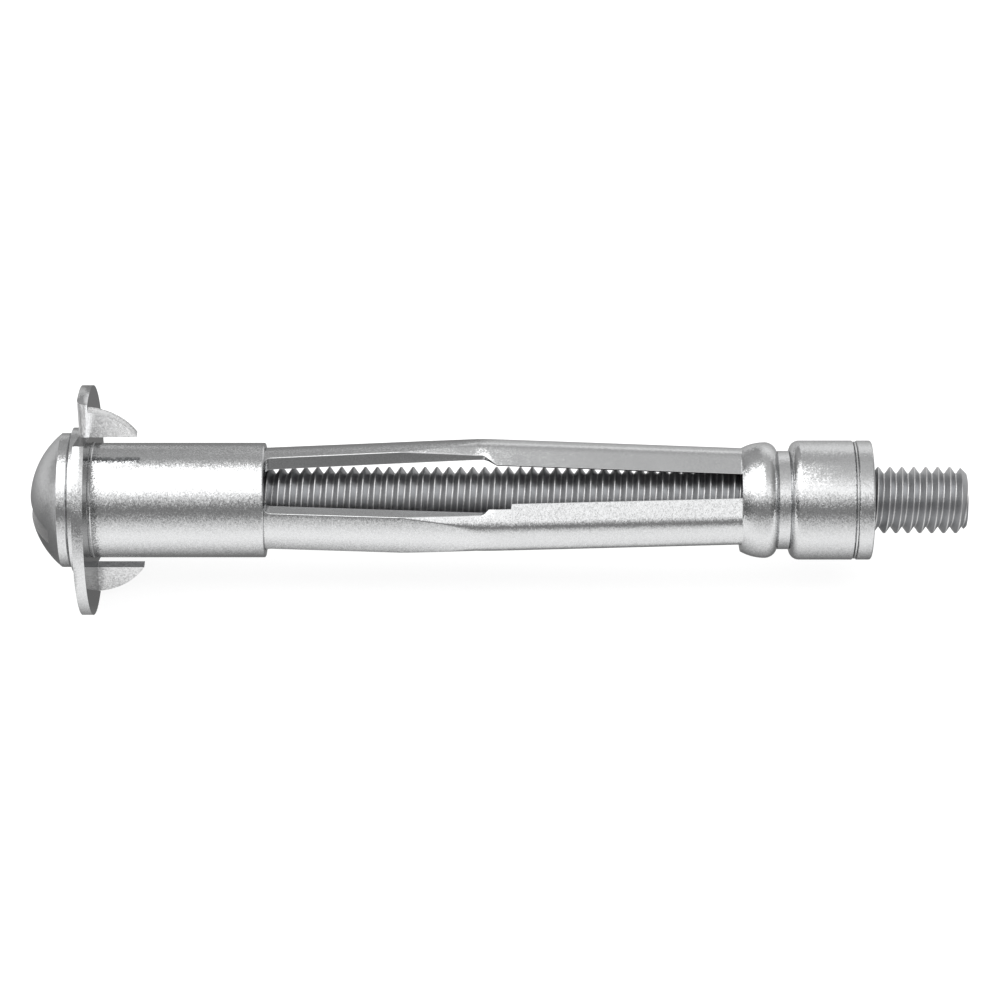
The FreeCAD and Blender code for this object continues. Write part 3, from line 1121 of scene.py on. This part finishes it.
@dataclass
class ClawWasher:
    """The disc between the flange and the wall, with two claws bent out of it beside their notches."""

    sheet: float = 0.64
    radius: float = 6.73
    bore: float = 3.387
    claw_inner: float = 4.53
    claw_reach: float = 2.75
    claw_outer: float = 6.215
    claw_arc: float = 3.63
    claw_angle: float = 106.1
    claws: int = 2
    bend_round: float = 0.55
    notch_width: float = 3.062
    notch_rise: float = 1.304
    notch_reach: float = 1.4
    overcut: float = 1.0
    edge_round: float = 0.045
    edge_sharp: float = 40.0
    sides: int = 192
    claw_steps: int = 12
    bend_steps: int = 9
    # How faces are told apart: where the claws' own start, and how far the normals lean.
    claw_start: float = 0.05
    edge_lean: float = 0.7
    wall_lean: float = 0.9
    bend_leans: Point = (-0.97, 0.5)
    cut_lean: float = 0.3
    rim_margin: float = 0.1

    def build(self, *metals: Metal) -> Piece:
        """Model the washer.

        Args:
            metals: Its finishes, in the order of Surface.

        Returns:
            The washer.
        """
        outline = [(-self.sheet, self.bore), (-self.sheet, self.radius), (0.0, self.radius), (0.0, self.bore)]
        washer = spin_outline("bent_washer", outline, self.sides, True)
        for index in range(self.claws):
            steps = ((self.notch(), "DIFFERENCE"), (self.claw(), "UNION"), (self.bend(), "DIFFERENCE"))
            for tool, operation in steps:
                turn_about_axis(tool, TOP_ANGLE + index * 360.0 / self.claws)
                cut_with(washer, tool, operation)
        join_flats(washer, SLIVER)
        round_edges(washer, self.edge_round, self.edge_sharp)
        give_metals(washer, *metals)
        mark(washer, self.surface_of)
        turn_about_axis(washer, self.claw_angle)
        face_outwards(washer)
        smooth(washer)
        return washer

    def notch(self) -> Piece:
        """The block that cuts the notch beside the top claw."""
        half, far = self.sheet / 2, self.radius + self.overcut
        far_y = -half - self.notch_reach * self.notch_width
        far_z = self.claw_inner + self.notch_reach * self.notch_rise
        corners = [(-half, self.claw_inner), (-half, far), (far_y, far), (far_y, far_z)]
        depth = self.sheet + 2 * self.overcut
        return extrude_outline("notch_block", corners, 0, -self.sheet - self.overcut, depth)

    def claw(self) -> Piece:
        """The claw at the top: a quarter of a disc that stands on the washer."""
        outline = [(-self.sheet, self.claw_inner)]
        tip = (self.claw_reach, self.claw_inner)
        outline += arc_points(tip, (0.0, self.claw_outer), self.claw_arc, 1, self.claw_steps)
        outline += [(0.0, self.claw_outer), (-self.sheet, self.claw_outer)]
        return extrude_outline("claw_block", outline, 1, -self.sheet / 2, self.sheet)

    def bend(self) -> Piece:
        """The waste outside the round of the top claw's bend, ended in the plane of the notch's wall."""
        half, turn = self.sheet / 2, self.bend_round
        level, beyond = turn - self.sheet, -self.sheet - self.overcut
        outline = arc_points((-self.sheet, turn - half), (level, -half), turn, 1, self.bend_steps)
        outline += [(level, -half), (level, -half - self.overcut)]
        outline += [(beyond, -half - self.overcut), (beyond, turn - half)]
        waste = extrude_outline("bend_waste", outline, 2, self.claw_inner - self.overcut, self.radius)
        trim(waste, (0, -half, self.claw_inner), (0, -self.notch_rise, -self.notch_width))
        return waste

    def surface_of(self, face: bpy.types.MeshPolygon) -> Surface:
        """Which finish a face of the washer takes, with its first claw at the top: the wall side and the
        claws' inward edges take darker copies, painted shade, and the claws' faces and bends a lighter copy,
        painted light.

        Args:
            face: The face.

        Returns:
            Its surface.
        """
        along, height, aside = face.normal.x, abs(face.center.z), abs(face.center.y)
        if face.center.x > self.claw_start * MM:
            inwards = face.normal.z * math.copysign(1, face.center.z) < -self.edge_lean
            return Surface.CLAW_EDGE if inwards else Surface.CLAW
        if along > self.wall_lean:
            return Surface.WALL
        at_bend = self.claw_inner * MM < height < self.claw_outer * MM and aside < self.bend_round * MM
        if at_bend and self.bend_leans[0] < along < self.bend_leans[1]:
            return Surface.CLAW
        within = face.center.yz.length < (self.radius - self.rim_margin) * MM
        across = abs(along) < self.cut_lean and within and aside > self.sheet / 4 * MM
        return Surface.CUT if across else Surface.PLATED


@dataclass
class TailNut:
    """The threaded bush in the tail of the sleeve: its flange shows behind a fine seam."""

    front: float = 38.5
    head_end: float = 39.15
    fold_end: float = 39.35
    shoulder: float = 41.33
    seam: float = 44.39
    seam_width: float = 0.2
    seam_depth: float = 0.06
    groove: float = 0.055
    end: float = 45.47
    bore: float = 2.01
    head_radius: float = 2.57
    neck_radius: float = 2.23
    body_radius: float = 2.847
    flange_radius: float = 3.49
    flange_round: float = 0.12
    bore_bevel: float = 0.18
    edge_round: float = 0.04
    sides: int = 144
    corner_steps: int = 4

    def build(self, metal: Metal) -> Piece:
        """Model the nut.

        Args:
            metal: Its finish.

        Returns:
            The nut.
        """
        start, round_start = self.seam + self.groove, self.end - self.flange_round
        flange_front = self.seam + self.seam_width
        end = flange_front - self.groove
        seam, body, flange = self.flange_radius - self.seam_depth, self.body_radius, self.flange_radius
        outline = [
            (self.front, self.bore),
            (self.front, self.head_radius),
            (self.head_end, self.head_radius),
            (self.fold_end, self.neck_radius),
            (self.shoulder, self.neck_radius),
            (self.shoulder, body),
            (start, body),
            (start, seam),
            (end, seam),
            (end, body),
            (flange_front, body),
            (flange_front, flange - self.edge_round),
            (flange_front + self.edge_round, flange),
        ]
        corner = (self.end, flange - self.flange_round)
        outline += arc_points((round_start, flange), corner, self.flange_round, -1, self.corner_steps)
        outline += [corner, (self.end, self.bore + self.bore_bevel), (self.end - self.bore_bevel, self.bore)]
        nut = spin_outline("crimped_nut", outline, self.sides, True)
        smooth(nut)
        give_metals(nut, metal)
        return nut


@dataclass
class Studio:
    """Pale floor, soft light and the camera at the photograph's angle."""

    floor_height: float = -6.57
    elevation: float = 49.1
    aim: float = 23.78
    distance: float = 234.3
    lens: float = 144.0
    sensor: float = 36.0
    backdrop: float = 1.0
    # The light fades towards both ends of the axis.
    end_span: Point = (0.35, 0.85)
    end_levels: Point = (1.0, 0.5)
    strength: float = 2.5
    # How far a direction leans left (below zero) or right where that side's bands are full
    left_lean: float = -0.075
    right_lean: float = 0.015
    # Painted shade on the floor that the metal sees: beyond the head it is darkest below the axis and pale
    # this far behind it.
    head_floor: Point = (0.16, 0.72)
    head_floor_depth: Point = (0.0, 16.0)
    head_floor_front: Point = (-24.0, -12.0)
    head_floor_beyond: Point = (-2.5, -6.0)
    paper_colour: Colour = (0.3, 0.3, 0.3, 1.0)
    paper_glow: float = 0.85
    # Size and place of the lamp in metres, and its power
    lamp_size: Point = (0.5, 0.4)
    lamp_place: Point = (0.03, 0.35)
    lamp_power: float = 1.2
    # The floor is seen as if from this height above it and this far in front of the axis.
    floor_eye: float = 7.1
    floor_shift: float = 2.9
    # Level of the light by its angle about the axis: 0 at the front's horizon, 90 at the top, 180 at the back
    left_bands: tuple[Point, ...] = (
        (-180.0, 0.4), (-150.0, 0.38), (-120.0, 0.3), (-93.0, 0.3), (-73.0, 0.54), (-58.0, 0.8),
        (-45.0, 0.97), (-34.5, 1.04), (-24.0, 1.02), (-14.5, 0.94), (-5.3, 0.8), (3.5, 0.62),
        (12.1, 0.4), (20.5, 0.26), (28.5, 0.2), (36.7, 0.28), (44.7, 0.5), (52.7, 0.8), (60.7, 1.12),
        (68.8, 1.6), (76.9, 2.3), (102.7, 2.4), (111.7, 1.95), (118.0, 1.5), (124.0, 0.85),
        (131.7, 0.5), (142.7, 0.36), (155.3, 0.39), (169.9, 0.33), (180.0, 0.4),
    )
    right_bands: tuple[Point, ...] = (
        (-180.0, 0.8), (-160.0, 0.7), (-120.0, 0.32), (-104.9, 0.28), (-81.3, 0.46), (-65.3, 0.7),
        (-52.3, 0.87), (-40.9, 0.97), (-30.5, 0.99), (-20.7, 0.95), (-11.7, 0.86), (-2.9, 0.72),
        (5.5, 0.55), (13.7, 0.38), (21.5, 0.25), (29.5, 0.22), (37.0, 0.3), (45.0, 0.5), (52.5, 0.76),
        (60.3, 1.04), (67.9, 1.24), (75.9, 1.0), (91.9, 0.66), (109.0, 0.52), (118.0, 0.52),
        (127.7, 0.5), (138.0, 0.44), (149.3, 0.54), (162.0, 0.85), (177.7, 0.9), (180.0, 0.8),
    )

    def build(self) -> None:
        """Set up the whole studio."""
        self.make_camera()
        bands = self.band_group()
        self.make_world(bands)
        self.make_floor(bands)
        self.make_light()
        bpy.context.scene.view_settings.view_transform = "Standard"

    def make_camera(self) -> None:
        """Stand the camera at the photograph's viewing angle."""
        data = bpy.data.cameras.new("camera")
        data.lens, data.sensor_width = self.lens, self.sensor
        data.clip_start = 10 * MM
        camera = bpy.data.objects.new("camera", data)
        bpy.context.scene.collection.objects.link(camera)
        tilt = math.radians(self.elevation)
        back, up = self.distance * math.cos(tilt), self.distance * math.sin(tilt)
        camera.location = Vector((self.aim, -back, up)) * MM
        camera.rotation_euler = (math.pi / 2 - tilt, 0, 0)
        bpy.context.scene.camera = camera

    def band_group(self) -> Tree:
        """Node group that gives the light's level in a direction, from its angle about the X axis.

        Returns:
            The group.
        """
        group, entry = EffectGroups.new_group("studio_bands", {"Direction": "Vector"}, {"Level": "Float"})
        direction = entry["Direction"]
        split = add_node(group, "SeparateXYZ", {0: direction})
        angle = calc(group, "ARCTAN2", split["Z"], calc(group, "MULTIPLY", split["Y"], -1.0))
        share = remap(group, angle, (-math.pi, math.pi))
        left, right = (self.band_ramp(group, share, bands) for bands in (self.left_bands, self.right_bands))
        length = add_node(group, "VectorMath", {0: direction}, operation="LENGTH")["Value"]
        side = remap(group, calc(group, "DIVIDE", split["X"], length), (self.left_lean, self.right_lean))
        mixed = add_node(group, "Mix", {"Factor": side, COLOUR_A: left, COLOUR_B: right}, data_type="RGBA")
        level = calc(group, "MULTIPLY", mixed[COLOUR_RESULT], self.strength)
        feed(group, group.nodes["Group Output"], {"Level": level})
        return group

    def band_ramp(self, group: Tree, share: Socket, bands: tuple[Point, ...]) -> Socket:
        """Colour ramp with the levels of one side.

        Args:
            group: The group that holds it.
            share: The angle about the axis, as a share of the full turn.
            bands: The angles in degrees, with their levels.

        Returns:
            The ramp's colour.
        """
        colour = add_node(group, "ValToRGB", {"Fac": share})["Color"]
        stops = colour.node.color_ramp.elements
        while len(stops) < len(bands):
            stops.new(0.5)
        for stop, (degrees, level) in zip(stops, bands):
            stop.position = (degrees + 180.0) / 360.0
            stop.color = (level / self.strength,) * 3 + (1.0,)
        return colour

    def make_world(self, bands: Tree) -> None:
        """Light the scene from all round with the soft bands.

        Args:
            bands: The group that gives their level.
        """
        world = bpy.data.worlds.new("studio")
        bpy.context.scene.world = world
        world.use_nodes = True
        tree = world.node_tree
        place = add_node(tree, "TexCoord")["Generated"]
        level = add_node(tree, "Group", {"Direction": place}, node_tree=bands)
        split = add_node(tree, "SeparateXYZ", {0: place})
        aside = calc(tree, "ABSOLUTE", split["X"])
        fade = remap(tree, aside, self.end_span, self.end_levels, interpolation_type="SMOOTHSTEP")
        dim = calc(tree, "MULTIPLY", level["Level"], fade)
        ray = add_node(tree, "LightPath")
        seen = add_node(tree, "Mix", {"Factor": ray["Is Camera Ray"], "A": dim, "B": self.backdrop})
        sky = {"Strength": seen["Result"], "Color": (1.0, 1.0, 1.0, 1.0)}
        feed(tree, tree.nodes["Background"], sky)

    def make_floor(self, bands: Tree) -> None:
        """Lay the pale floor; the metal sees it glow in the studio's bands, painted light, and darker beyond
        the head, painted shade.

        Args:
            bands: The group that gives their level.
        """
        clear_selection()
        bpy.ops.mesh.primitive_plane_add(size=4.0, location=(0, 0, 0))
        floor = bpy.context.object
        floor.name = "floor"
        floor.data.transform(Matrix.Translation((0, 0, self.floor_height * MM)))
        material = bpy.data.materials.new("pale_floor")
        material.use_nodes = True
        tree = material.node_tree
        tree.nodes.remove(tree.nodes["Principled BSDF"])
        # Glossy rays see the floor glow: painted light in the studio's bands, and painted shade beyond the
        # head.
        mirrored = add_node(tree, "Emission", {"Strength": self.floor_level(tree, bands)})
        paper = add_node(tree, "BsdfDiffuse", {"Color": self.paper_colour})
        glow = add_node(tree, "Emission", {"Strength": self.paper_glow})
        seen = add_node(tree, "AddShader", {0: paper[0], 1: glow[0]})
        ray = add_node(tree, "LightPath")
        both = add_node(tree, "MixShader", {"Fac": ray["Is Glossy Ray"], 1: seen[0], 2: mirrored[0]})
        feed(tree, tree.nodes["Material Output"], {"Surface": both[0]})
        floor.data.materials.append(material)

    def floor_level(self, tree: Tree, bands: Tree) -> Socket:
        """Level of the floor's glow that the metal sees: the studio's bands, painted light, and darker beyond
        the head, painted shade.

        Args:
            tree: The floor's own nodes.
            bands: The group that gives the bands' level.

        Returns:
            The level.
        """
        place = add_node(tree, "TexCoord")["Object"]
        eye_offset = (-self.aim * MM, self.floor_shift * MM, -(self.floor_eye + self.floor_height) * MM)
        eye = calc(tree, "ADD", place, eye_offset, kind="VectorMath")
        level = add_node(tree, "Group", {"Direction": eye}, node_tree=bands)
        split = add_node(tree, "SeparateXYZ", {0: place})
        depth, beyond, front = (
            remap(tree, split[output], (start * MM, end * MM), levels)
            for (start, end), output, levels in (
                (self.head_floor_depth, "Y", self.head_floor),
                (self.head_floor_beyond, "X", (0.0, 1.0)),
                (self.head_floor_front, "Y", (0.0, 1.0)),
            )
        )
        here = calc(tree, "MULTIPLY", beyond, front)
        return add_node(tree, "Mix", {"Factor": here, "A": level["Level"], "B": depth})["Result"]

    def make_light(self) -> None:
        """Hang one large soft lamp above the anchor."""
        data = bpy.data.lights.new("soft_lamp", "AREA")
        data.shape, data.energy = "RECTANGLE", self.lamp_power
        data.size, data.size_y = self.lamp_size
        lamp = bpy.data.objects.new("soft_lamp", data)
        bpy.context.scene.collection.objects.link(lamp)
        lamp.location = (self.aim * MM, *self.lamp_place)
        lamp.visible_glossy = False


def main() -> None:
    """Build the anchor's pieces and the studio in order."""
    logging.basicConfig(level=logging.INFO, format="%(name)s: %(message)s")
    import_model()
    Studio().build()
    groups = EffectGroups()
    finishes = (
        Finish("plated_sheet", (0.76, 0.765, 0.77), 0.13, 0.06, 0.15, 0.02, 0.6),
        Finish("cut_sheet", (0.6, 0.605, 0.61), 0.2, 0.06, 0.06, 0.02, 0.4),
        # A darker copy of the plated sheet for the washer's wall side: painted shade.
        Finish("wall_side_shade", (0.6, 0.605, 0.61), 0.06, 0.06, 0.01, 0.02, 0.42),
        # A lighter copy of the plated sheet for the claws' faces and bends: painted light.
        Finish("claw_painted_light", (0.92, 0.922, 0.925), 0.28, 0.06, 0.3, 0.02),
        # A darker copy for the claws' inward edges: painted shade.
        Finish("claw_edge_shade", (0.4, 0.405, 0.415), 0.3, 0.06, 0.3, 0.02, 0.5),
        # A lighter copy of the steel for the screw's domed head: painted light.
        Finish("screw_head", (0.83, 0.835, 0.84), 0.3, 0.06, 0.16, 0.02, 0.5),
        # A darker copy of the steel for the thread's flanks: painted shade in the thread.
        Finish("thread_flank_shade", (0.5, 0.505, 0.515), 0.36, 0.06, 0.08, 0.02),
        # A copy of the same steel for the thread's crest and root lines and the slot, in a tone between the
        # head's painted light and the flanks' painted shade.
        Finish("rolled_line", (0.7, 0.7, 0.7), 0.4, 0.06, 0.05, 0.02),
    )
    plated, cut, wall, claw, claw_edge_shade, head, flank, line = (item.material(groups) for item in finishes)
    pieces = (
        (SheetSleeve().build(plated, cut), "anchor", "expansion_sleeve", "sleeve_steel"),
        (ClawWasher().build(plated, cut, wall, claw, claw_edge_shade), "anchor", "claw_washer", "washer_steel"),
        (TailNut().build(plated), "anchor", "tail_nut", "nut_steel"),
        (MachineScrew().build(head, flank, line, plated), "screw", "machine_screw", "screw_steel"),
    )
    for piece, body, node, slot in pieces:
        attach(piece, body)
        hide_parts(node)
        LOG.info("%s has %d faces", piece.name, len(piece.data.polygons))


if __name__ == "__main__":
    main()
